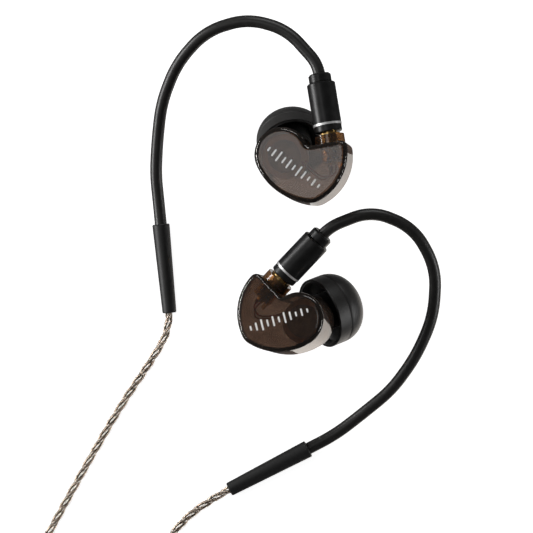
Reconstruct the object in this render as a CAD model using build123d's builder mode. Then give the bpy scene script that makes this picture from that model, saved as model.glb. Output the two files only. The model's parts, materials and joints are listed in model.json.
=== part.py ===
"""A pair of wired in-ear monitors, lying on a table with their outer faces up.

Frame: millimetres, +Z up, table at Z = 0, origin under the middle of the two monitors and their ear guides.
Each monitor has its own frame: x out to the round lobe, y along the plug towards the cable, z out of the face.
"""
import math
import os

from build123d import *

# ---- driving dimensions -------------------------------------------------------------------------------------
LOBE_R = 4.95               # round lobe of the housing
FACE_TOP = 3.0              # outer face above the middle of the lobe
SEAM = 1.8                  # joint between the faceplate and the rear shell
SHELL_FLOOR = -4.6          # inner side of the housing, towards the head
WALL = 0.8

AXIS_X = -8.7               # plug axis, beside the middle of the lobe
AXIS_Z = -0.95
NECK_R = 2.7
NECK_END = 2.2
SOCKET_R = 2.0
SOCKET_BORE_R = 1.6
SOCKET_BACK = -2.6
SOCKET_END = 2.5
PLUG_R = 1.5
PLUG_FRONT = -0.6
SNAP_GROOVE = (0.4, 1.0)
RUNNING_GAP = 0.03

BARREL_START = 2.8
RING_START, RING_END = 4.0, 4.4
BARREL_R = 2.575
LOWER_R = 2.5
BARREL_END = 11.9
COLLAR_R = 2.05
COLLAR_END = 13.6

GUIDE_R = 1.1               # preformed tube over the ear
BOOT_R = (1.58, 1.28)
BRANCH_R = 0.825            # twisted cable of one side
MAIN_R = 1.3                # cable from the splitter to the plug

NOZZLE_ROOT = (-1.3, -0.3, -4.9)
NOZZLE_AXIS = (0.14, 0.68, -0.72)
NOZZLE_R = 2.4
NOZZLE_BORE_R = 1.7
NOZZLE_START, NOZZLE_END = 1.4, 7.3
BARB_R = 2.7
TIP_R = 6.4
TIP_RIM, TIP_END = 3.1, 11.0

DRIVER_R = 4.05

os.makedirs("parts", exist_ok=True)


def save(builder, name):
    """Label a finished piece and write it."""
    builder.part.label = name
    export_step(builder.part, f"parts/{name}.step")


def ring(plane, start, end, outer, inner=0.0):
    """A plain turned ring or disc along the plane's axis."""
    with BuildPart() as piece:
        with BuildSketch(plane.offset(start)):
            Circle(outer)
            if inner:
                Circle(inner, mode=Mode.SUBTRACT)
        extrude(amount=end - start)
    return piece


def turned(plane, outline):
    """A turned piece: outline holds (radius, height along the plane's axis) points."""
    section = Plane(origin=plane.origin, x_dir=plane.x_dir, z_dir=-plane.y_dir)
    with BuildPart() as piece:
        with BuildSketch(section):
            with BuildLine():
                Polyline(*outline, close=True)
            make_face()
        revolve(axis=Axis(plane.origin, plane.z_dir))
    return piece


def arc_radii(route):
    """The largest arc that the two runs beside each corner leave room for."""
    radii = []
    for before, corner, after in zip(route, route[1:], route[2:]):
        run_in = Vector(*corner) - Vector(*before)
        run_out = Vector(*after) - Vector(*corner)
        half_turn = math.radians(run_in.get_angle(run_out)) / 2
        radii.append(0.45 * min(run_in.length, run_out.length) / math.tan(half_turn))
    return radii


def tube(name, routes, radius):
    """Round tubes along straight runs joined by tangent arcs."""
    length = 0
    with BuildPart() as piece:
        for route in routes:
            radii = arc_radii(route)
            with BuildLine() as path:
                FilletPolyline(*route, radius=radii)
            wire = path.wire()
            with BuildSketch(Plane(origin=wire @ 0, z_dir=wire % 0)):
                Circle(radius)
            sweep(path=wire)
            length += wire.length
            print(f"{name}: arc radii {[round(r, 1) for r in radii]}")
    plain = math.pi * radius ** 2 * length
    print(f"{name}: length {length:.1f}, volume {piece.part.volume:.1f}, section x length {plain:.1f}")
    save(piece, name)


# ---- housing ------------------------------------------------------------------------------------------------
def housing_outline(side, inset=0.0):
    """Heart-shaped outline of the housing; side is +1 for the left ear and -1 for the right.

    The inset outline is the inner face of the wall: each point is moved in by the wall's thickness.
    """
    lobe = LOBE_R - inset
    rim = 0.56 - inset          # height of the flat rim round the neck
    leave = math.radians(-14.7)
    notch = (-math.sqrt(lobe ** 2 - rim ** 2) * side, rim)
    lobe_top = (0, lobe)
    lobe_end = (lobe * math.cos(leave) * side, lobe * math.sin(leave))
    toe = (-4.5 * side, -9.8 + inset)
    heel = ((-9.6 + 0.75 * inset) * side, -6.9 + 0.66 * inset)
    shoulder = ((-12.05 + inset) * side, rim)
    with BuildSketch() as profile:
        with BuildLine():
            ThreePointArc(notch, lobe_top, lobe_end)
            TangentArc(lobe_end, toe, tangent=(math.sin(leave) * side, -math.cos(leave)))
            ThreePointArc(toe, heel, shoulder)
            Line(shoulder, notch)
        make_face()
        for corner, radius in ((toe, 3.0 - inset), (shoulder, 1.3 - inset), (notch, 0.8 + inset)):
            fillet(profile.vertices().sort_by_distance(corner)[0], radius=radius)
    return profile.sketch


def make_faceplate(label, side, face):
    with BuildPart() as faceplate:
        with BuildSketch(face.offset(SEAM)):
            add(housing_outline(side))
        extrude(amount=FACE_TOP - SEAM)
        fillet(faceplate.edges().group_by(Axis(face.origin, face.z_dir))[-1], radius=0.9)
        with BuildSketch(face.offset(SEAM)):
            add(housing_outline(side, inset=WALL))
        extrude(amount=FACE_TOP - SEAM - WALL, mode=Mode.SUBTRACT)
    save(faceplate, f"{label}_faceplate")


def make_rear_shell(label, side, face, plug, nozzle):
    inward = Plane(origin=face.origin, x_dir=face.x_dir, z_dir=-face.z_dir)
    cone_root = -SHELL_FLOOR - 0.2
    with BuildPart() as shell:
        with BuildSketch(face.offset(SHELL_FLOOR)):
            add(housing_outline(side))
        extrude(amount=SEAM - SHELL_FLOOR)
        fillet(shell.edges().group_by(Axis(face.origin, face.z_dir))[0], radius=1.2)
        with BuildSketch(plug.offset(-1.0)):
            Circle(NECK_R)
        extrude(amount=NECK_END + 1.0)
        with BuildSketch(inward.offset(cone_root)):
            with Locations((-0.3 * side, 0)):
                Circle(4.1)
        with BuildSketch(nozzle.offset(NOZZLE_START)):
            Circle(2.9)
        loft()
        with BuildSketch(nozzle.offset(NOZZLE_START)):
            Circle(NOZZLE_R)
        extrude(amount=NOZZLE_END - NOZZLE_START)
        with BuildSketch(nozzle.offset(NOZZLE_END - 1.1)):
            Circle(BARB_R)
        extrude(amount=1.1)
        with BuildSketch(face.offset(SHELL_FLOOR + WALL)):
            add(housing_outline(side, inset=WALL))
        extrude(amount=SEAM - SHELL_FLOOR - WALL, mode=Mode.SUBTRACT)
        with BuildSketch(plug.offset(-2.0)):
            Circle(SOCKET_R)
        extrude(amount=NECK_END + 2.0, mode=Mode.SUBTRACT)
        with BuildSketch(inward.offset(-SHELL_FLOOR - WALL)):
            with Locations((-0.3 * side, 0)):
                Circle(3.3)
        with BuildSketch(nozzle.offset(NOZZLE_START)):
            Circle(NOZZLE_BORE_R)
        loft(mode=Mode.SUBTRACT)
        with BuildSketch(nozzle.offset(NOZZLE_START - 0.2)):
            Circle(NOZZLE_BORE_R)
        extrude(amount=NOZZLE_END - NOZZLE_START + 0.2, mode=Mode.SUBTRACT)
    save(shell, f"{label}_rear_shell")


def make_nozzle_parts(label, nozzle):
    with BuildPart() as grille:
        with BuildSketch(nozzle.offset(NOZZLE_END - 0.6)):
            Circle(NOZZLE_BORE_R)
            Circle(0.28, mode=Mode.SUBTRACT)
            with PolarLocations(0.95, 6):
                Circle(0.3, mode=Mode.SUBTRACT)
        extrude(amount=0.2)
    save(grille, f"{label}_nozzle_grille")

    section = Plane(origin=nozzle.origin, x_dir=nozzle.x_dir, z_dir=-nozzle.y_dir)
    core_start, core_r, bore_r, mouth_r = 3.4, 3.45, BARB_R + 0.08, 1.95
    skirt = 0.6
    with BuildPart() as tip:
        with BuildSketch(section):
            with BuildLine():
                Polyline((TIP_R - 0.3, TIP_RIM), (TIP_R, TIP_RIM + 0.3), (TIP_R, 5.3))
                ThreePointArc((TIP_R, 5.3), (5.65, 8.9), (3.1, TIP_END))
                ThreePointArc((3.1, TIP_END), (2.25, TIP_END - 0.25), (mouth_r, 10.2))
                Polyline((mouth_r, 10.2), (mouth_r, 7.6), (bore_r, 7.6), (bore_r, core_start),
                         (core_r, core_start), (core_r, 8.3))
                ThreePointArc((core_r, 8.3), (5.1, 7.55), (TIP_R - skirt, 5.3))
                Polyline((TIP_R - skirt, 5.3), (TIP_R - skirt, TIP_RIM), (TIP_R - 0.3, TIP_RIM))
            make_face()
        revolve(axis=Axis(nozzle.origin, nozzle.z_dir))
    save(tip, f"{label}_ear_tip")


# ---- dynamic driver -----------------------------------------------------------------------------------------
def make_driver(label, face):
    floor = SHELL_FLOOR + WALL
    save(turned(face, [(DRIVER_R, floor), (DRIVER_R, -1.2), (3.0, -1.2), (3.0, -1.5), (3.65, -1.5),
                       (3.65, floor)]), f"{label}_driver_frame")
    save(turned(face, [(0, -0.7), (3.0, -0.7), (3.0, -2.0), (2.75, -2.0), (2.75, -1.1), (0, -1.1)]),
         f"{label}_driver_yoke")
    save(ring(face, -2.0, -1.1, 2.3), f"{label}_driver_magnet")
    save(ring(face, -2.9, -1.6, 2.62, 2.48), f"{label}_voice_coil")
    save(turned(face, [(0, -3.5), (1.4, -3.35), (2.3, -3.0), (3.0, -3.2), (3.65, -3.0), (3.65, -2.9),
                       (3.0, -3.1), (2.3, -2.9), (1.4, -3.25), (0, -3.4)]), f"{label}_diaphragm")


# ---- snap-in plug and socket --------------------------------------------------------------------------------
def make_connector(label, side, face, plug):
    with BuildPart() as socket:
        with BuildSketch(plug.offset(SOCKET_BACK)):
            Circle(SOCKET_R)
            Circle(SOCKET_BORE_R, mode=Mode.SUBTRACT)
        extrude(amount=SOCKET_END - SOCKET_BACK)
        with BuildSketch(plug.offset(SOCKET_BACK)):
            with PolarLocations(1.8, 2, start_angle=60, angular_range=60, endpoint=True):
                Rectangle(0.4, 0.7)
        extrude(amount=-1.7)
    save(socket, f"{label}_socket_shell")
    save(ring(plug, SOCKET_BACK, -1.8, SOCKET_BORE_R, 0.75), f"{label}_socket_insulator")
    save(turned(plug, [(0, -3.3), (0.75, -3.3), (0.75, 0.3), (0.38, 0.3), (0.38, -1.3), (0, -1.3)]),
         f"{label}_socket_contact")

    groove_start, groove_end = SNAP_GROOVE
    groove_r = PLUG_R - 0.22
    save(turned(plug, [(1.05, PLUG_FRONT), (PLUG_R - 0.15, PLUG_FRONT), (PLUG_R, PLUG_FRONT + 0.15),
                       (PLUG_R, groove_start), (groove_r, groove_start), (groove_r, groove_end),
                       (PLUG_R, groove_end), (PLUG_R, 6.0), (1.05, 6.0)]), f"{label}_plug_shell")
    with BuildPart() as snap:
        with BuildSketch(plug.offset(groove_start + RUNNING_GAP)):
            Circle(SOCKET_BORE_R - RUNNING_GAP)
            Circle(groove_r + RUNNING_GAP, mode=Mode.SUBTRACT)
            with Locations((0, SOCKET_BORE_R)):
                Rectangle(0.5, 1.0, mode=Mode.SUBTRACT)
        extrude(amount=groove_end - groove_start - 2 * RUNNING_GAP)
    save(snap, f"{label}_snap_ring")
    save(ring(plug, 0.4, 4.0, 1.05, 0.35), f"{label}_plug_insulator")
    save(ring(plug, -1.0, 4.8, 0.35), f"{label}_plug_pin")

    # two lead wires from the back of the socket to the edge of the driver
    routes = []
    for spread, depth in ((0.35, 0.6), (-0.35, 0.0)):
        local = [((AXIS_X + spread) * side, -3.3, AXIS_Z), ((AXIS_X + spread + 0.3) * side, -5.0, AXIS_Z + depth),
                 (-6.4 * side, -5.6 - spread, depth - 0.2), (-4.4 * side, -3.4 - spread, -0.6 + depth / 2),
                 ((-3.4 + spread) * side, -1.6, -0.95 + depth / 4)]
        routes.append([tuple(face.from_local_coords(point)) for point in local])
    tube(f"{label}_lead_wires", routes, 0.14)


# ---- cable end: barrel, collars, ear guide, boot -------------------------------------------------------------
def make_cable_end(label, plug, guide_route, boot_ends):
    save(turned(plug, [(PLUG_R, BARREL_START), (LOWER_R - 0.12, BARREL_START), (LOWER_R, BARREL_START + 0.12),
                       (LOWER_R, RING_START), (2.2, RING_START), (2.2, RING_END), (BARREL_R, RING_END),
                       (BARREL_R, BARREL_END - 0.2), (BARREL_R - 0.2, BARREL_END), (GUIDE_R, BARREL_END),
                       (GUIDE_R, 6.0), (PLUG_R, 6.0)]), f"{label}_barrel")
    save(ring(plug, RING_START, RING_END, BARREL_R + 0.02, 2.2), f"{label}_accent_ring")
    save(turned(plug, [(GUIDE_R, BARREL_END), (COLLAR_R - 0.08, BARREL_END), (COLLAR_R - 0.08, BARREL_END + 0.12),
                       (COLLAR_R, BARREL_END + 0.2), (COLLAR_R, COLLAR_END - 0.3), (COLLAR_R - 0.3, COLLAR_END),
                       (GUIDE_R, COLLAR_END)]), f"{label}_upper_collar")
    along = [tuple(plug.from_local_coords((0, 0, height))) for height in (BARREL_END - 1.0, COLLAR_END + 1.9)]
    tube(f"{label}_ear_guide", [along + guide_route], GUIDE_R)

    start, end = Vector(*boot_ends[0]), Vector(*boot_ends[1])
    boot_plane = Plane(origin=start, z_dir=end - start)
    length = (end - start).length
    save(turned(boot_plane, [(GUIDE_R, 0), (BOOT_R[0] - 0.15, 0), (BOOT_R[0], 0.15),
                             (BOOT_R[1], length - 0.15), (BOOT_R[1] - 0.15, length), (BRANCH_R, length),
                             (BRANCH_R, length - 2.0), (0, length - 2.0), (0, 3.0), (GUIDE_R, 3.0)]),
         f"{label}_boot")


# ---- cord coils ---------------------------------------------------------------------------------------------
COIL_LIFT = 0.4             # the tie's strap under a coil


def make_coil(name, centre, mean_r, cord_r, turns_in_layer, layers):
    """The outer shape of one wound coil, lying flat."""
    half_width = (turns_in_layer / 2) * (2 * cord_r + 0.05) + cord_r
    height = 2 * cord_r * layers
    with BuildPart() as coil:
        with BuildSketch(Plane.XY.offset(COIL_LIFT)):
            with Locations(centre):
                Circle(mean_r + half_width)
                Circle(mean_r - half_width, mode=Mode.SUBTRACT)
        extrude(amount=height)
        fillet(coil.edges(), radius=cord_r * 0.9)
    save(coil, name)
    return half_width, height


# ---- where everything lies ----------------------------------------------------------------------------------
def monitor_planes(side, lobe_centre, plug_dir, face_lean):
    """The frames of one monitor: its face, its plug axis and its nozzle axis."""
    along = Vector(*plug_dir).normalized()
    out = Vector(*face_lean)
    out = (out - along * out.dot(along)).normalized()
    face = Plane(origin=lobe_centre, x_dir=along.cross(out), z_dir=out)
    plug = Plane(origin=face.from_local_coords((AXIS_X * side, 0, AXIS_Z)), x_dir=face.x_dir, z_dir=along)
    root_x, root_y, root_z = NOZZLE_ROOT
    axis_x, axis_y, axis_z = NOZZLE_AXIS
    axis = face.x_dir * (axis_x * side) + face.y_dir * axis_y + face.z_dir * axis_z
    nozzle = Plane(origin=face.from_local_coords((root_x * side, root_y, root_z)), x_dir=face.x_dir, z_dir=axis)
    return face, plug, nozzle


LEFT = dict(
    side=1, lobe_centre=(1.1, -11.5, 14.45), plug_dir=(0.678, 0.714, 0.174), face_lean=(-0.345, 0.105, 0.933),
    guide=[(13.7, 8.4, 14.0), (21.4, 5.3, 12.8), (25.5, -2.0, 10.8), (25.1, -10.8, 8.2), (21.9, -18.2, 6.0),
           (17.6, -24.2, 4.0), (12.4, -28.5, 2.6), (7.28, -32.47, 1.7), (-0.26, -36.38, 1.55)],
    boot=[(2.4, -35.0, 1.6), (-12.1, -42.5, 1.3)])
RIGHT = dict(
    side=-1, lobe_centre=(-2.2, 18.3, 15.5), plug_dir=(-0.158, 0.980, -0.122), face_lean=(-0.184, 0.092, 0.978),
    guide=[(-1.6, 41.2, 13.0), (-8.8, 43.2, 11.4), (-16.3, 41.0, 9.4), (-21.6, 35.2, 7.2), (-24.4, 28.1, 5.1),
           (-25.2, 21.3, 3.5), (-25.5, 15.0, 2.35), (-24.94, 9.68, 1.67), (-24.29, 3.01, 1.545)],
    boot=[(-24.58, 6.0, 1.6), (-23.0, -10.2, 1.3)])

SPLIT_X = -27.5
STRAND_GAP = 1.15
STRAND_Z = 1.5
SPLIT_START, SPLIT_END = -128.0, -140.0

LEFT_CABLE = [
    [(-10.32, -41.58, 1.34), (-14.32, -43.65, 1.25), (-20.5, -47.9, 0.85), (-25.2, -54.5, 0.85),
     (-26.6, -62.6, 1.1), (-26.65, -69.0, 1.25)],
    [(-26.3, -73.4, 2.6), (-25.6, -79.0, 2.0), (-26.0, -90.0, 1.5), (-26.3, -103.0, STRAND_Z),
     (SPLIT_X + STRAND_GAP, -116.5, STRAND_Z), (SPLIT_X + STRAND_GAP, SPLIT_START - 2, STRAND_Z)]]
RIGHT_CABLE = [
    [(-23.19, -8.21, 1.34), (-22.76, -12.69, 1.25), (-25.8, -18.2, 0.85), (-31.6, -26.6, 0.85), (-38.5, -38.5, 0.85),
     (-46.2, -52.5, 0.85), (-50.6, -61.0, 1.0), (-52.8, -67.0, 1.25)],
    [(-48.6, -79.0, 2.6), (-40.0, -85.0, 1.8), (-30.6, -96.0, STRAND_Z), (-28.7, -106.0, STRAND_Z),
     (SPLIT_X - STRAND_GAP, -118.5, STRAND_Z), (SPLIT_X - STRAND_GAP, SPLIT_START - 2, STRAND_Z)]]
MAIN_CABLE = [
    [(SPLIT_X, SPLIT_END + 2, 1.9), (SPLIT_X, -143.0, 1.8), (-27.7, -149.5, 1.7), (-27.65, -152.5, 1.7)],
    [(7.2, -150.0, 9.5), (7.3, -144.5, 9.1), (7.8, -135.5, 6.0), (7.6, -124.8, 3.9), (16.5, -119.6, 3.3),
     (25.4, -124.6, 3.3), (25.5, -135.0, 3.3)]]
COIL_LEFT, COIL_RIGHT, COIL_MAIN = (-15.0, -69.0), (-42.0, -70.0), (-10.2, -152.0)
COIL_BRANCH_MEAN_R, COIL_MAIN_MEAN_R = 9.5, 14.3
JACK_AXIS = Plane(origin=(25.5, -133.0, 3.3), x_dir=(1, 0, 0), z_dir=(0, -1, 0))


def make_ear(label, spec, cable):
    side = spec["side"]
    face, plug, nozzle = monitor_planes(side, spec["lobe_centre"], spec["plug_dir"], spec["face_lean"])
    make_faceplate(label, side, face)
    make_rear_shell(label, side, face, plug, nozzle)
    make_nozzle_parts(label, nozzle)
    make_driver(label, face)
    make_connector(label, side, face, plug)
    make_cable_end(label, plug, spec["guide"], spec["boot"])
    tube(f"{label}_branch_cable", cable, BRANCH_R)


make_ear("left", LEFT, LEFT_CABLE)
make_ear("right", RIGHT, RIGHT_CABLE)
tube("main_cable", MAIN_CABLE, MAIN_R)

left_half, branch_height = make_coil("left_branch_coil", COIL_LEFT, COIL_BRANCH_MEAN_R, BRANCH_R, 2.5, 2)
right_half, _ = make_coil("right_branch_coil", COIL_RIGHT, COIL_BRANCH_MEAN_R, BRANCH_R, 2.1, 2)
main_half, main_height = make_coil("main_coil", COIL_MAIN, COIL_MAIN_MEAN_R, MAIN_R, 2.375, 4)

# straps that tie the three coils
with BuildPart() as ties:
    for centre, mean_r, half_width, height, turn in (
            (COIL_LEFT, COIL_BRANCH_MEAN_R, left_half, branch_height, -30),
            (COIL_RIGHT, COIL_BRANCH_MEAN_R, right_half, branch_height, 20),
            (COIL_MAIN, COIL_MAIN_MEAN_R, main_half, main_height, -60)):
        outward = Vector(1, 0, 0).rotate(Axis.Z, turn)
        middle = Vector(*centre, COIL_LIFT + height / 2) + outward * mean_r
        with BuildSketch(Plane(origin=middle, x_dir=outward, z_dir=outward.rotate(Axis.Z, 90))):
            RectangleRounded(2 * half_width + 2 * COIL_LIFT, height + 2 * COIL_LIFT, 0.9)
            RectangleRounded(2 * half_width, height, 0.7, mode=Mode.SUBTRACT)
        extrude(amount=1.5, both=True)
save(ties, "cable_ties")

# slider that draws the two branch cables together under the chin
SLIDER_LENGTH = 5.0
SLIDER_START = SPLIT_START + 1.0
with BuildPart() as chin_slider:
    with BuildSketch(Plane(origin=(SPLIT_X, SLIDER_START, STRAND_Z), x_dir=(-1, 0, 0), z_dir=(0, 1, 0))):
        SlotOverall(5.4, 2.96)
        with Locations((STRAND_GAP, 0), (-STRAND_GAP, 0)):
            Circle(BRANCH_R + 0.05, mode=Mode.SUBTRACT)
    extrude(amount=SLIDER_LENGTH)
    for end_face in chin_slider.faces().sort_by(Axis.Y)[0], chin_slider.faces().sort_by(Axis.Y)[-1]:
        fillet(end_face.outer_wire().edges(), radius=0.25)
save(chin_slider, "chin_slider")

# splitter where the two branch cables join the main cable
with BuildPart() as splitter:
    with BuildSketch(Plane(origin=(SPLIT_X, SPLIT_START, 1.9), x_dir=(-1, 0, 0), z_dir=(0, -1, 0))):
        SlotOverall(6.2, 3.8)
    with BuildSketch(Plane(origin=(SPLIT_X, SPLIT_END, 1.9), x_dir=(-1, 0, 0), z_dir=(0, -1, 0))):
        SlotOverall(4.2, 3.6)
    loft()
    with BuildSketch(Plane(origin=(SPLIT_X, SPLIT_START, STRAND_Z), x_dir=(-1, 0, 0), z_dir=(0, -1, 0))):
        with Locations((STRAND_GAP, 0), (-STRAND_GAP, 0)):
            Circle(BRANCH_R)
    extrude(amount=2.0, mode=Mode.SUBTRACT)
    with BuildSketch(Plane(origin=(SPLIT_X, SPLIT_END, 1.9), x_dir=(-1, 0, 0), z_dir=(0, 1, 0))):
        Circle(MAIN_R)
    extrude(amount=2.0, mode=Mode.SUBTRACT)
save(splitter, "splitter")

# ---- 3.5 mm three-pole plug ---------------------------------------------------------------------------------
JACK_R = 1.75
save(turned(JACK_AXIS, [(MAIN_R, 0), (MAIN_R, 2.0), (0, 2.0), (0, 9.0), (2.4, 9.0), (2.4, 7.5), (1.7, 0)]),
     "jack_relief")
save(turned(JACK_AXIS, [(0, 9.0), (2.9, 9.0), (3.3, 9.6), (3.3, 24.4), (2.6, 25.5), (0, 25.5)]), "jack_handle")
save(turned(JACK_AXIS, [(0, 25.5), (2.4, 25.5), (2.4, 26.3), (JACK_R, 26.3), (JACK_R, 31.3), (0, 31.3)]),
     "jack_sleeve")
save(ring(JACK_AXIS, 32.0, 34.4, JACK_R), "jack_ring")
save(turned(JACK_AXIS, [(0, 35.1), (JACK_R, 35.1), (JACK_R, 36.0), (1.15, 37.0), (1.7, 38.2), (1.5, 39.2),
                        (0.5, 40.3), (0, 40.3)]), "jack_tip")
with BuildPart() as jack_insulators:
    for start in (31.3, 34.4):
        with BuildSketch(JACK_AXIS.offset(start)):
            Circle(JACK_R)
        extrude(amount=0.7)
save(jack_insulators, "jack_insulators")
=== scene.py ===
"""In-ear monitors: camera, light, cords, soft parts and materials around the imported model.

Everything is in metres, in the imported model's frame. Lengths are written in millimetres times MM.
"""
import json
import math

import bpy
import numpy as np
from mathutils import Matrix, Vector


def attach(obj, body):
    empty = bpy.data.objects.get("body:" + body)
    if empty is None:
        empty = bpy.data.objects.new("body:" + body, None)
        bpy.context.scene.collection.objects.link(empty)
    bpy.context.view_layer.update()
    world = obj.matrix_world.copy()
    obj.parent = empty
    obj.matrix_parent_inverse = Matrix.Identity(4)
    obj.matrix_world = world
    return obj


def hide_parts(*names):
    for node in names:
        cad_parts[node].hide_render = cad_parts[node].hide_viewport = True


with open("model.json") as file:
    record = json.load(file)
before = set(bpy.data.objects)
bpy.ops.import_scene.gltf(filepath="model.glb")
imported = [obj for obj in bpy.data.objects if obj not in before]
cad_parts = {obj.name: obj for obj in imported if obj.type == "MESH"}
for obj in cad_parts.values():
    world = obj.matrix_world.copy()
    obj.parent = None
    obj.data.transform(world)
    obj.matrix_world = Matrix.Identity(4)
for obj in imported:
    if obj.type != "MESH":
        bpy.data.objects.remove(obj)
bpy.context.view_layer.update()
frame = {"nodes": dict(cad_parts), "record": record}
nodes = frame["nodes"]
joints = {joint["name"]: joint for joint in frame["record"]["behaviour"]["joints"]}
scene = bpy.context.scene
MM = 0.001
SIDES = ("left", "right")


# ---- camera -----------------------------------------------------------------------------------------------
VIEW_WIDTH = 96.9 * MM          # width of the picture at the height of the monitors
VIEW_HEIGHT = 8 * MM
VIEW_CENTRE = (-5.27 * MM, -1.73 * MM)
CAMERA_DISTANCE = 1.2
SENSOR = 36.0

camera = bpy.data.objects.new("camera", bpy.data.cameras.new("camera"))
camera.data.sensor_width = SENSOR
camera.data.lens = SENSOR * CAMERA_DISTANCE / VIEW_WIDTH
camera.data.clip_start, camera.data.clip_end = 0.01, 10.0
camera.location = (*VIEW_CENTRE, VIEW_HEIGHT + CAMERA_DISTANCE)
scene.collection.objects.link(camera)
scene.camera = camera


# ---- materials --------------------------------------------------------------------------------------------
def material(name, dark, light, roughness, grain, bump, metallic=0.0, stretch=(1, 1, 1), sockets=None):
    """A material whose colour, roughness and relief vary with noise; grain is the noise's size in metres."""
    made = bpy.data.materials.new(name)
    made.use_nodes = True
    tree = made.node_tree
    link = tree.links.new
    shader = tree.nodes["Principled BSDF"]
    shader.inputs["Metallic"].default_value = metallic
    for socket, value in (sockets or {}).items():
        shader.inputs[socket].default_value = value

    place = tree.nodes.new("ShaderNodeTexCoord")
    mapping = tree.nodes.new("ShaderNodeMapping")
    mapping.inputs["Scale"].default_value = stretch
    link(place.outputs["Object"], mapping.inputs["Vector"])
    noise = tree.nodes.new("ShaderNodeTexNoise")
    noise.inputs["Scale"].default_value = 1 / grain
    noise.inputs["Detail"].default_value = 5
    link(mapping.outputs["Vector"], noise.inputs["Vector"])

    ramp = tree.nodes.new("ShaderNodeValToRGB")
    ramp.color_ramp.elements[0].position, ramp.color_ramp.elements[1].position = 0.3, 0.7
    ramp.color_ramp.elements[0].color, ramp.color_ramp.elements[1].color = (*dark, 1), (*light, 1)
    link(noise.outputs["Fac"], ramp.inputs["Fac"])
    link(ramp.outputs["Color"], shader.inputs["Base Color"])

    spread = tree.nodes.new("ShaderNodeMapRange")
    spread.inputs["To Min"].default_value, spread.inputs["To Max"].default_value = roughness
    link(noise.outputs["Fac"], spread.inputs["Value"])
    link(spread.outputs["Result"], shader.inputs["Roughness"])

    fine = tree.nodes.new("ShaderNodeTexNoise")
    fine.inputs["Scale"].default_value = 6 / grain
    link(mapping.outputs["Vector"], fine.inputs["Vector"])
    relief = tree.nodes.new("ShaderNodeBump")
    relief.inputs["Strength"].default_value = bump
    relief.inputs["Distance"].default_value = 0.02 * MM
    link(fine.outputs["Fac"], relief.inputs["Height"])
    link(relief.outputs["Normal"], shader.inputs["Normal"])
    return made


def turned_material(name, axis, dark, light, roughness, metallic, line):
    """Turned metal: fine rings round the axis of the piece, line metres apart, over a soft cloudy tone."""
    made = material(name, dark, light, roughness, 1.5 * MM, 0.15, metallic)
    tree = made.node_tree
    link = tree.links.new
    place = tree.nodes.new("ShaderNodeTexCoord")
    along = tree.nodes.new("ShaderNodeVectorMath")
    along.operation = "DOT_PRODUCT"
    along.inputs[1].default_value = axis
    link(place.outputs["Object"], along.inputs[0])
    rings = tree.nodes.new("ShaderNodeTexNoise")
    rings.noise_dimensions = "1D"
    rings.inputs["Scale"].default_value = 1 / line
    rings.inputs["Detail"].default_value = 3
    link(along.outputs["Value"], rings.inputs["W"])
    relief = tree.nodes.new("ShaderNodeBump")
    relief.inputs["Strength"].default_value = 0.25
    relief.inputs["Distance"].default_value = 0.01 * MM
    link(rings.outputs["Fac"], relief.inputs["Height"])
    cloudy = next(n for n in tree.nodes if n.type == "BUMP" and n != relief)
    link(relief.outputs["Normal"], cloudy.inputs["Normal"])
    return made


SMOKE = material(
    "smoke_shell", (0.27, 0.22, 0.185), (0.38, 0.315, 0.27), (0.03, 0.07), 4 * MM, 0.03,
    sockets={"Transmission Weight": 0.96, "IOR": 1.47})
smoke_depth = SMOKE.node_tree.nodes.new("ShaderNodeVolumeAbsorption")
smoke_depth.inputs["Color"].default_value = (0.56, 0.40, 0.30, 1)
smoke_depth.inputs["Density"].default_value = 800
SMOKE.node_tree.links.new(
    smoke_depth.outputs["Volume"], SMOKE.node_tree.nodes["Material Output"].inputs["Volume"])
SILICONE = material(
    "tip_silicone", (0.010, 0.0095, 0.009), (0.017, 0.016, 0.015), (0.42, 0.55), 0.8 * MM, 0.25,
    sockets={"Sheen Weight": 0.08, "Sheen Roughness": 0.4})
GUIDE = material("guide_rubber", (0.011, 0.0105, 0.010), (0.018, 0.017, 0.016), (0.34, 0.44), 0.7 * MM, 0.2)
BOOT = material("boot_plastic", (0.008, 0.008, 0.008), (0.013, 0.013, 0.013), (0.45, 0.58), 0.5 * MM, 0.3)
GOLD = material("gold_contact", (0.50, 0.30, 0.10), (0.74, 0.50, 0.20), (0.22, 0.34), 0.6 * MM, 0.1, 1.0)
STEEL = material("bright_steel", (0.70, 0.70, 0.70), (0.82, 0.82, 0.82), (0.46, 0.54), 0.5 * MM, 0.1, 0.9)
DRIVER = material("driver_metal", (0.34, 0.25, 0.18), (0.50, 0.38, 0.28), (0.3, 0.45), 1.0 * MM, 0.2, 0.25)
# The driver frame's material is a brighter, warmer copy of the driver metal: a painted glint that stands in
# for light catching the frame's rim.
DRIVER_RIM_PAINTED_GLINT = material("driver_rim_painted_glint", (0.62, 0.34, 0.17), (0.80, 0.48, 0.27), (0.25, 0.4), 1.0 * MM, 0.2, 0.4)
MAGNET = material("magnet", (0.22, 0.21, 0.20), (0.34, 0.33, 0.32), (0.25, 0.4), 0.8 * MM, 0.2, 1.0)
COPPER = material("copper_wire", (0.50, 0.20, 0.08), (0.72, 0.35, 0.16), (0.2, 0.35), 0.12 * MM, 0.8, 1.0)
FILM = material(
    "driver_film", (0.55, 0.50, 0.42), (0.75, 0.70, 0.60), (0.15, 0.3), 0.7 * MM, 0.3,
    sockets={"Transmission Weight": 0.5})
INSULATOR = material("white_insulator", (0.62, 0.52, 0.38), (0.78, 0.70, 0.56), (0.4, 0.55), 0.6 * MM, 0.2)
LEAD = material("lead_wire", (0.30, 0.02, 0.015), (0.45, 0.05, 0.03), (0.25, 0.4), 0.4 * MM, 0.2)
STRAP = material(
    "tie_plastic", (0.008, 0.008, 0.009), (0.03, 0.03, 0.032), (0.75, 0.95), 0.25 * MM, 1.0,
    stretch=(1, 3, 1), sockets={"Sheen Weight": 0.4})
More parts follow.
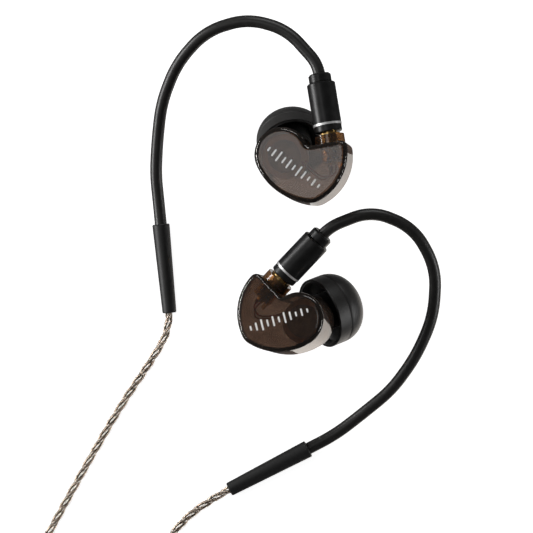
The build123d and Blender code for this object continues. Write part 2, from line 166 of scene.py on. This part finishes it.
BAND = material("jack_band", (0.015, 0.015, 0.015), (0.03, 0.03, 0.03), (0.4, 0.5), 0.5 * MM, 0.2)
PRINT = material("print_white", (0.70, 0.69, 0.67), (0.82, 0.81, 0.80), (0.35, 0.5), 0.4 * MM, 0.2)
JACKET = material(
    "cable_jacket", (0.95, 0.93, 0.90), (0.99, 0.975, 0.95), (0.03, 0.08), 1.5 * MM, 0.1,
    sockets={"Transmission Weight": 1.0, "IOR": 1.22})
STRANDS = material(
    "cable_strands", (0.11, 0.07, 0.045), (0.62, 0.53, 0.45), (0.18, 0.30), 0.25 * MM, 0.5, 1.0)
CABLE_AXIS = (0, 1, 0)          # the splitter, the slider and the jack lie along it
HANDLE = turned_material(
    "handle_metal", CABLE_AXIS, (0.012, 0.012, 0.012), (0.022, 0.022, 0.022), (0.28, 0.38), 0.5, 0.05 * MM)
JACK_GOLD = turned_material(
    "jack_gold", CABLE_AXIS, (0.74, 0.50, 0.20), (0.90, 0.68, 0.32), (0.14, 0.24), 1.0, 0.04 * MM)

FINISHES = {
    "faceplate": SMOKE, "rear_shell": SMOKE, "nozzle_grille": STEEL, "driver_frame": DRIVER_RIM_PAINTED_GLINT,
    "driver_yoke": DRIVER, "driver_magnet": MAGNET, "voice_coil": COPPER, "diaphragm": FILM,
    "socket_shell": GOLD, "socket_insulator": INSULATOR, "socket_contact": GOLD, "lead_wires": LEAD,
    "snap_ring": GOLD, "plug_shell": GOLD, "plug_insulator": INSULATOR, "plug_pin": GOLD,
    "accent_ring": STEEL, "ear_guide": GUIDE, "boot": BOOT,
    "cable_ties": STRAP, "splitter": HANDLE, "chin_slider": HANDLE, "jack_relief": BOOT,
    "jack_handle": HANDLE, "jack_sleeve": JACK_GOLD, "jack_ring": JACK_GOLD, "jack_tip": JACK_GOLD,
    "jack_insulators": BAND,
}


def dress(node, finish):
    """Gives a CAD node its material, with smooth shading on its round faces."""
    mesh = nodes[node].data
    mesh.materials.clear()
    mesh.materials.append(finish)
    mesh.shade_smooth()
    mesh.set_sharp_from_angle(angle=math.radians(28))


for name, finish in FINISHES.items():
    for node in (name, f"left_{name}", f"right_{name}"):
        if node in nodes:
            dress(node, finish)
for side in SIDES:
    barrel_metal = turned_material(
        f"{side}_black_metal", joints[f"{side}_swivel"]["axis"], (0.011, 0.011, 0.011), (0.020, 0.020, 0.020),
        (0.30, 0.40), 0.45, 0.05 * MM)
    dress(f"{side}_barrel", barrel_metal)
    dress(f"{side}_upper_collar", barrel_metal)


# ---- mesh tools -------------------------------------------------------------------------------------------
def new_piece(name, vertices, faces, finish, body):
    """A smooth mesh piece that rides on a body."""
    mesh = bpy.data.meshes.new(name)
    mesh.from_pydata([tuple(v) for v in vertices], [], faces)
    mesh.shade_smooth()
    mesh.materials.append(finish)
    piece = bpy.data.objects.new(name, mesh)
    scene.collection.objects.link(piece)
    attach(piece, body)
    return piece


def loft_faces(rings, sides, closed_ends=True, first=0):
    """Quads between rings of vertices, with an end cap at each end or the last ring joined to the first."""
    faces = []
    count = rings - 1 if closed_ends else rings
    for ring in range(count):
        here, after = ring * sides, ((ring + 1) % rings) * sides
        for i in range(sides):
            j = (i + 1) % sides
            faces.append(tuple(first + k for k in (here + i, here + j, after + j, after + i)))
    if closed_ends:
        faces.append(tuple(first + k for k in reversed(range(sides))))
        faces.append(tuple(first + (rings - 1) * sides + k for k in range(sides)))
    return faces


def across(axis):
    """Two unit vectors square to the axis and to each other."""
    first = Vector(axis).orthogonal().normalized()
    return first, Vector(axis).cross(first).normalized()


def solid_of_revolution(name, centre, axis, profile, finish, body, sides=96):
    """Turns a closed (radius, height) profile round the axis."""
    u, v = across(axis)
    vertices = []
    for radius, height in profile:
        for i in range(sides):
            angle = 2 * math.pi * i / sides
            vertices.append(centre + axis * height + (u * math.cos(angle) + v * math.sin(angle)) * radius)
    return new_piece(name, vertices, loft_faces(len(profile), sides, closed_ends=False), finish, body)


# ---- cords ------------------------------------------------------------------------------------------------
BRANCH_R = 0.825                # millimetres, like the routes
MAIN_R = 1.3
BRANCH_PITCH, BRANCH_STEP = 8.7, 0.7 * MM
MAIN_PITCH, MAIN_STEP = 13.5, 1.1 * MM
STRANDS_IN_CABLE = 3
COIL_LIFT = 0.4
COIL_GAP = 0.05
CLIMB = 0.12                    # part of a turn in which a coil climbs to its next layer, each way
POINTS_PER_TURN = 16

LEFT_COIL = dict(centre=(-15.0, -69.0), mean_r=9.5, cord_r=BRANCH_R, in_layer=2.5, start=180, turns=5.05)
RIGHT_COIL = dict(centre=(-42.0, -70.0), mean_r=9.5, cord_r=BRANCH_R, in_layer=2.1, start=165, turns=4.194)
MAIN_COIL = dict(centre=(-10.2, -152.0), mean_r=14.3, cord_r=MAIN_R, in_layer=2.375, start=180, turns=9.5)

LEFT_OUT = [(-10.32, -41.58, 1.34), (-14.32, -43.65, 1.25), (-20.5, -47.9, 0.85), (-25.2, -54.5, 0.85),
            (-26.6, -62.6, 1.1)]
LEFT_ON = [(-26.3, -73.4, 2.6), (-25.6, -79.0, 2.0), (-26.0, -90.0, 1.5), (-26.3, -103.0, 1.5),
           (-26.35, -116.5, 1.5), (-26.35, -130.0, 1.5)]
RIGHT_OUT = [(-23.19, -8.21, 1.34), (-22.76, -12.69, 1.25), (-25.8, -18.2, 0.85), (-31.6, -26.6, 0.85),
             (-38.5, -38.5, 0.85), (-46.2, -52.5, 0.85), (-50.6, -61.0, 1.0)]
RIGHT_ON = [(-48.6, -79.0, 2.6), (-40.0, -85.0, 1.8), (-30.6, -96.0, 1.5), (-28.7, -106.0, 1.5),
            (-28.65, -118.5, 1.5), (-28.65, -130.0, 1.5)]
MAIN_OUT = [(-27.5, -138.0, 1.9), (-27.5, -143.0, 1.8), (-27.7, -149.5, 1.7)]
MAIN_ON = [(7.2, -150.0, 9.5), (7.3, -144.5, 9.1), (7.8, -135.5, 6.0), (7.6, -124.8, 3.9),
           (16.5, -119.6, 3.3), (25.4, -124.6, 3.3), (25.5, -135.0, 3.3)]


def coil_turns(centre, mean_r, cord_r, in_layer, start, turns):
    """The turns of a wound coil: each layer winds inwards or outwards, and lies on the one below."""
    reach = in_layer / 2 * (2 * cord_r + COIL_GAP)
    points = []
    for step in range(1, int(turns * POINTS_PER_TURN)):
        turn = step / POINTS_PER_TURN
        layer, part = divmod(turn / in_layer, 1)
        inwards = layer % 2 == 0
        radius = mean_r + reach * (1 - 2 * part if inwards else 2 * part - 1)
        nearest = round(turn / in_layer) * in_layer
        level = layer
        if 0 < nearest < turns - 0.5 and abs(turn - nearest) < CLIMB:
            level = nearest / in_layer - 0.5 + (turn - nearest) / (2 * CLIMB)
        angle = math.radians(start) + 2 * math.pi * turn
        points.append((centre[0] + radius * math.cos(angle), centre[1] + radius * math.sin(angle),
                       COIL_LIFT + cord_r * (1 + 2 * min(level, math.ceil(turns / in_layer - 0.1) - 1))))
    return points


def spline_line(name, route, step):
    """Points at equal steps along the smooth NURBS spline that has the route as its control points."""
    curve = bpy.data.curves.new(name, "CURVE")
    curve.dimensions = "3D"
    curve.resolution_u = 12
    spline = curve.splines.new("NURBS")
    spline.points.add(len(route) - 1)
    for point, place in zip(spline.points, route):
        point.co = (*(c * MM for c in place), 1)
    spline.order_u = 3
    spline.use_endpoint_u = True
    holder = bpy.data.objects.new(name, curve)
    scene.collection.objects.link(holder)
    mesh = bpy.data.meshes.new_from_object(holder)
    line = np.array([v.co for v in mesh.vertices])
    bpy.data.objects.remove(holder)
    bpy.data.meshes.remove(mesh)
    travelled = np.concatenate([[0], np.cumsum(np.linalg.norm(np.diff(line, axis=0), axis=1))])
    count = int(travelled[-1] / step) + 1
    at = np.linspace(0, travelled[-1], count)
    return np.stack([np.interp(at, travelled, line[:, i]) for i in range(3)], axis=1), travelled[-1]


def moving_frames(line):
    """Two directions square to the line at each point, carried along without twist."""
    tangents = np.gradient(line, axis=0)
    tangents /= np.linalg.norm(tangents, axis=1)[:, None]
    normal = np.array(across(tangents[0])[0])
    normals = []
    for tangent in tangents:
        normal = normal - tangent * normal.dot(tangent)
        normal /= np.linalg.norm(normal)
        normals.append(normal)
    normals = np.array(normals)
    return normals, np.cross(tangents, normals)


def wound_strands(name, line, step, offset, radius, pitch, finish, sides, ribs=0, rib=0.0):
    """Round strands wound round the line; ribs is the number of wires that show on each, rib their relief."""
    u, v = moving_frames(line)
    count = len(line)
    along = np.arange(count) * step
    vertices, faces = [], []
    around = np.linspace(0, 2 * math.pi, sides, endpoint=False)
    for strand in range(STRANDS_IN_CABLE):
        turn = 2 * math.pi * (along / pitch + strand / STRANDS_IN_CABLE)
        out = u * np.cos(turn)[:, None] + v * np.sin(turn)[:, None]
        side = -u * np.sin(turn)[:, None] + v * np.cos(turn)[:, None]
        middle = line + out * offset
        wire_turn = 2 * math.pi * along / (0.7 * pitch)
        for ring in range(count):
            reach = radius * (1 + rib * np.cos(ribs * around + wire_turn[ring]))
            ring_points = middle[ring] + out[ring] * (np.cos(around) * reach)[:, None]
            ring_points = ring_points + side[ring] * (np.sin(around) * reach)[:, None]
            vertices.append(ring_points)
        faces += loft_faces(count, sides, first=strand * count * sides)
    return new_piece(name, np.concatenate(vertices), faces, finish, "harness")


def make_cable(name, route, radius, pitch, step, replaced, pieces, **facts):
    """One twisted cable: clear jackets wound round each other, each with a bundle of fine wires inside."""
    line, length = spline_line(f"{name}_line", route, step)
    step = length / (len(line) - 1)
    fill = 1 / (1 + 1 / math.sin(math.pi / STRANDS_IN_CABLE))   # a strand's share of the cable's radius
    jacket_r = radius * MM * fill
    offset = radius * MM - jacket_r
    jackets = wound_strands(name, line, step, offset, 0.985 * jacket_r, pitch * MM, JACKET, 10)
    wires = wound_strands(
        f"{name}_wires", line, step, offset, 0.5 * jacket_r, pitch * MM, STRANDS, 12, ribs=6, rib=0.14)
    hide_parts(*replaced)
    print(f"{name}: {length:.3f} m")


make_cable(
    "left_cable", LEFT_OUT + coil_turns(**LEFT_COIL) + LEFT_ON, BRANCH_R, BRANCH_PITCH, BRANCH_STEP,
    ["left_branch_cable", "left_branch_coil"], ["splitter", "chin_slider"],
    exit=[c * MM for c in (-12.1, -42.5, 1.3)], far_end="fitting")
make_cable(
    "right_cable", RIGHT_OUT + coil_turns(**RIGHT_COIL) + RIGHT_ON, BRANCH_R, BRANCH_PITCH, BRANCH_STEP,
    ["right_branch_cable", "right_branch_coil"], ["splitter", "cable_ties"],
    exit=[c * MM for c in (-23.0, -10.2, 1.3)], far_end="fitting")
make_cable(
    "plug_cable", MAIN_OUT + coil_turns(**MAIN_COIL) + MAIN_ON, MAIN_R, MAIN_PITCH, MAIN_STEP,
    ["main_cable", "main_coil"],
    ["jack_relief", "jack_handle", "jack_sleeve", "jack_ring", "jack_tip", "jack_insulators"],
    exit=[c * MM for c in (-27.5, -140.0, 1.9)], far_end="plug")


# ---- ear tips ---------------------------------------------------------------------------------------------
def arc(start, end, bulge, count):
    """Points on a round curve from start to end that stands out by bulge at its middle."""
    start, end = Vector(start), Vector(end)
    middle = (start + end) / 2
    square = Vector((end - start).yx) * Vector((1, -1))
    peak = middle + square.normalized() * bulge
    points = []
    for i in range(count + 1):
        t = i / count
        control = 2 * peak - middle
        points.append(tuple((1 - t) ** 2 * start + 2 * t * (1 - t) * control + t ** 2 * end))
    return points


def dome_profile(outer, foot, mouth, top, count):
    """A rounded dome from the full radius at its foot to the mouth at its top."""
    sharpness = 2.25
    points = []
    for i in range(1, count + 1):
        rise = math.sin(math.pi / 2 * i / count)
        radius = outer * (1 - rise ** sharpness) ** (1 / sharpness)
        if radius <= mouth:
            break
        points.append((radius, foot + (top - foot) * rise))
    return points


def make_ear_tip(side):
    """A silicone tip: a round skirt with a rolled rim and a mould line, a dome, a mouth and a core."""
    node = f"{side}_ear_tip"
    axis = Vector(joints[f"{side}_tip_pull"]["axis"]).normalized()
    points = np.array([v.co for v in nodes[node].data.vertices])
    u, v = (np.array(w) for w in across(axis))
    heights = points @ np.array(axis)
    middle = [(points @ w).max() / 2 + (points @ w).min() / 2 for w in (u, v)]
    rim = Vector(u * middle[0] + v * middle[1] + np.array(axis) * heights.min())
    outer = (points @ u).max() - middle[0]
    depth = heights.max() - heights.min()
    mould_line = 0.34 * depth
    line_depth = 0.05 * MM
    line_shoulder = outer - 0.2 * line_depth
    skirt = 0.58 * MM                       # thickness of the open skirt
    inside = outer - skirt
    rim_top, rim_roll = 0.28 * MM, -0.26 * MM
    skirt_foot, skirt_top = 1.0 * MM, 2.0 * MM
    core_r, bore_r, mouth_r = 3.45 * MM, 2.80 * MM, 1.95 * MM
    core_foot, core_top, bore_top = 0.35 * MM, 5.0 * MM, 4.5 * MM
    mouth_depth = 0.85 * MM

    dome = dome_profile(outer, mould_line + 0.1 * MM, 0.42 * outer, depth, 22)
    lip = arc(dome[-1], (mouth_r, depth - mouth_depth), 0.2 * MM, 8)
    under = arc((core_r, core_top), (inside, skirt_top), 0.75 * MM, 8)
    rolled = arc((inside, rim_top), (outer, rim_top), rim_roll, 8)
    profile = rolled[1:] + [
        (outer, 0.9 * MM), (outer, mould_line - 0.12 * MM), (line_shoulder, mould_line - 0.05 * MM),
        (outer - line_depth, mould_line), (line_shoulder, mould_line + 0.05 * MM)]
    profile += dome + lip[1:]
    profile += [(mouth_r, bore_top), (bore_r, bore_top), (bore_r, core_foot), (core_r, core_foot)]
    profile += under + [(inside, skirt_foot), rolled[0]]
    tip = solid_of_revolution(f"{side}_silicone_tip", rim, axis, profile, SILICONE, f"{side}_tip")
    tip.data.set_sharp_from_angle(angle=math.radians(50))
    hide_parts(node)


for side in SIDES:
    make_ear_tip(side)


# ---- generic mark on each face ----------------------------------------------------------------------------
def face_frame(side):
    """Middle of the round lobe on the outer face, with the face's x, y (along the plug) and normal."""
    plate = nodes[f"{side}_faceplate"].data
    flat = max((p for p in plate.polygons if p.normal.z > 0.5), key=lambda p: p.area)
    normal = flat.normal.normalized()
    along = Vector(joints[f"{side}_swivel"]["axis"])
    along = (along - normal * along.dot(normal)).normalized()
    beside = along.cross(normal)
    driver = np.array([v.co for v in nodes[f"{side}_driver_frame"].data.vertices])
    height = max(v.co.dot(normal) for v in plate.vertices)
    place = [((driver @ np.array(w)).max() + (driver @ np.array(w)).min()) / 2 for w in (beside, along)]
    return beside * place[0] + along * place[1] + normal * height, beside, along, normal


def make_mark(side, start, end, heights):
    """A row of upright rounded bars, like a sound level, printed on the face from start to end."""
    centre, beside, along, normal = face_frame(side)
    low = Vector((start[0], start[1])) * MM
    high = Vector((end[0], end[1])) * MM
    forward = (high - low).normalized()
    up = Vector((-forward.y, forward.x))
    bar_r, thick, sunk, corner_sides = 0.17 * MM, 0.035 * MM, 0.01 * MM, 8
    worn = 0.9                              # the ink's top edge is a little smaller than its foot
    vertices, faces = [], []
    for i, height in enumerate(heights):
        foot = low.lerp(high, i / (len(heights) - 1))
        half = height * MM / 2 - bar_r
        outline = []
        for j in range(2 * corner_sides + 2):
            angle = math.pi * (j - (1 if j > corner_sides else 0)) / corner_sides
            lift = half if j <= corner_sides else -half
            outline.append(foot + forward * (bar_r * math.cos(angle)) + up * (lift + bar_r * math.sin(angle)))
        first = len(vertices)
        for level in (-sunk, thick * 0.7, thick):
            inset = worn if level == thick else 1.0
            for x, y in outline:
                flat = foot + (Vector((x, y)) - foot) * inset
                vertices.append(centre + beside * flat.x + along * flat.y + normal * level)
        faces += loft_faces(3, len(outline), first=first)
    mark = new_piece(f"{side}_face_mark", vertices, faces, PRINT, f"{side}_monitor")
    mark.data.set_sharp_from_angle(angle=math.radians(40))


MARK_HEIGHTS = (0.9, 1.5, 2.1, 1.3, 1.9, 1.1, 2.1, 1.6, 0.9, 1.4, 0.8)
MARK_ENDS = {"left": ((-5.0, -7.25), (0.43, 2.58)), "right": ((-1.93, 1.24), (5.91, -7.03))}
for side in SIDES:
    make_mark(side, *MARK_ENDS[side], MARK_HEIGHTS)


# ---- studio -----------------------------------------------------------------------------------------------
def make_floor():
    """A wide white table top that glows a little, and that gloss doesn't see."""
    half = 1.5
    mesh = bpy.data.meshes.new("floor")
    corners = [(-half, -half, 0), (half, -half, 0), (half, half, 0), (-half, half, 0)]
    mesh.from_pydata(corners, [], [(0, 1, 2, 3)])
    floor = bpy.data.objects.new("floor", mesh)
    scene.collection.objects.link(floor)
    paper = material("floor_paper", (0.86, 0.86, 0.86), (0.88, 0.88, 0.88), (0.8, 0.9), 30 * MM, 0.05,
                     sockets={"Emission Color": (1, 1, 1, 1), "Emission Strength": 0.85})
    mesh.materials.append(paper)
    floor.visible_glossy = False


def make_light(name, place, size, power):
    """A soft rectangular light that faces the middle of the monitors; size in metres, power in watts."""
    target = Vector((0, 0, VIEW_HEIGHT))
    lamp = bpy.data.lights.new(name, "AREA")
    lamp.shape = "RECTANGLE"
    lamp.size, lamp.size_y = size
    lamp.energy = power
    light = bpy.data.objects.new(name, lamp)
    light.location = place
    light.rotation_euler = (target - Vector(place)).to_track_quat("-Z", "Y").to_euler()
    scene.collection.objects.link(light)


def make_glow_card():
    """A pale card under the table that only gloss sees: the band of light low on the right of each shell."""
    left, right, near, far, level = 2 * MM, 60 * MM, -60 * MM, 20 * MM, -30 * MM
    corners = [(left, near, level), (right, near, level), (right, far, level), (left, far, level)]
    mesh = bpy.data.meshes.new("glow_card")
    mesh.from_pydata(corners, [], [(0, 1, 2, 3)])
    card = bpy.data.objects.new("glow_card", mesh)
    scene.collection.objects.link(card)
    paper = material("glow_paper", (0.86, 0.84, 0.80), (0.88, 0.86, 0.82), (0.8, 0.9), 30 * MM, 0.05,
                     sockets={"Emission Color": (1.0, 0.91, 0.82, 1)})
    tree = paper.node_tree
    place = tree.nodes.new("ShaderNodeTexCoord")
    slant = tree.nodes.new("ShaderNodeVectorMath")
    slant.operation = "DOT_PRODUCT"
    slant.inputs[1].default_value = (0.8, -0.6, 0)
    glow = tree.nodes.new("ShaderNodeMapRange")
    glow.interpolation_type = "SMOOTHSTEP"
    glow.inputs["From Min"].default_value = 6 * MM
    glow.inputs["From Max"].default_value = 42 * MM
    glow.inputs["To Max"].default_value = 1.15
    tree.links.new(place.outputs["Object"], slant.inputs[0])
    tree.links.new(slant.outputs["Value"], glow.inputs["Value"])
    tree.links.new(glow.outputs["Result"], tree.nodes["Principled BSDF"].inputs["Emission Strength"])
    mesh.materials.append(paper)
    card.visible_camera = card.visible_diffuse = card.visible_transmission = card.visible_shadow = False


make_floor()
make_glow_card()
make_light("key_left", (-0.45, 0.06, 0.11), (0.45, 0.10), 2.4)
make_light("fill_right", (0.48, -0.12, 0.12), (0.35, 0.10), 1.0)
make_light("back", (0.05, 0.50, 0.22), (0.4, 0.10), 0.8)
make_light("overhead", (-0.22, 0.11, 0.55), (0.16, 0.16), 0.16)
world = bpy.data.worlds.new("studio")
world.use_nodes = True
surroundings = world.node_tree.nodes["Background"]
surroundings.inputs["Color"].default_value = (1, 1, 1, 1)
surroundings.inputs["Strength"].default_value = 0.06
scene.world = world
scene.view_settings.view_transform = "Standard"
